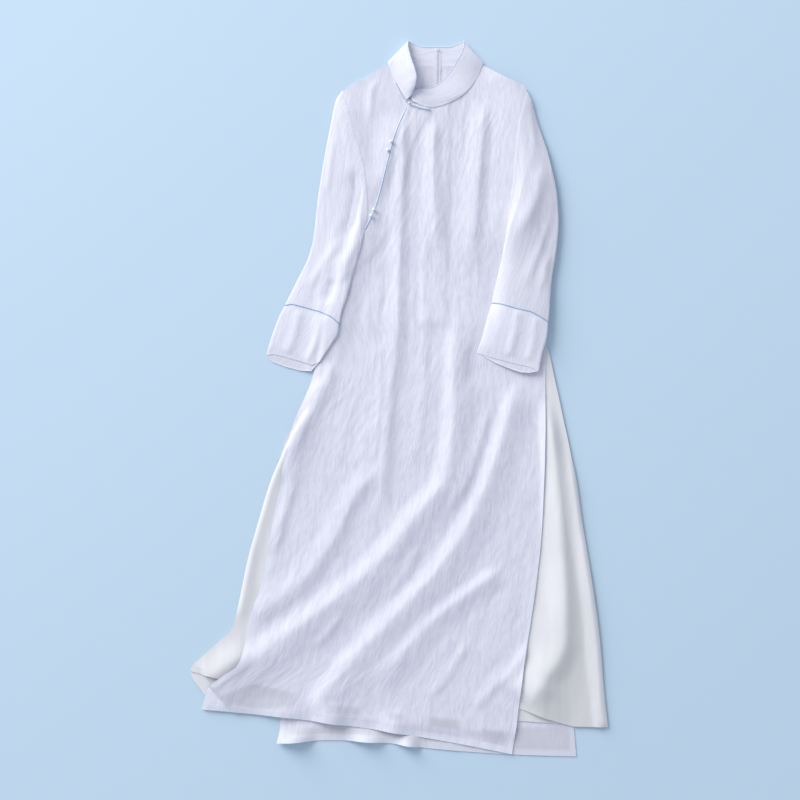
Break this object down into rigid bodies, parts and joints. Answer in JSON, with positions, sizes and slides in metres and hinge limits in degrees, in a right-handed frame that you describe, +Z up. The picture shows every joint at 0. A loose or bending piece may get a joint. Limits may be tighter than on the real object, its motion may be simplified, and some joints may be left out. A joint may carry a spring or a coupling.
{
  "type": "long dress",
  "caption": "Ankle-length cheongsam laid flat: stand collar, slanted side opening, long cuffed sleeves, side slits and a loose skirt lining.",
  "frame": {"origin": "middle of the garment's width and length, on the surface that it lies on", "axes": "+X to the right of someone looking down at the front, +Y towards the collar, +Z up from the surface"},
  "size_m": [0.7521, 1.2861, 0.0234],
  "materials": {
    "outer_cloth": "crinkled linen, nearly white with a cool tint",
    "lining_satin": "smooth ivory satin",
    "piping": "pale blue satin cord",
    "zip_tape": "woven white tape",
    "pearl": "pearl"
  },
  "bodies": {
    "root": {"back_left": "outer_cloth", "back_right": "outer_cloth", "front": "outer_cloth", "shoulder_panel": "outer_cloth", "sleeve_left": "outer_cloth", "sleeve_right": "outer_cloth", "cuff_left": "outer_cloth", "cuff_right": "outer_cloth", "collar_left": "outer_cloth", "collar_right": "outer_cloth", "lining_front": "lining_satin", "lining_back": "lining_satin", "zip_tape_left": "zip_tape", "zip_tape_right": "zip_tape", "cuff_piping_left": "piping", "cuff_piping_right": "piping", "collar_piping_left": "piping", "collar_piping_right": "piping", "opening_piping": "piping", "frog_knot": "piping", "frog_leg_left": "piping", "frog_leg_right": "piping", "pearl_1": "pearl", "pearl_2": "pearl", "pearl_3": "pearl", "pearl_4": "pearl"}
  },
  "joints": []
}
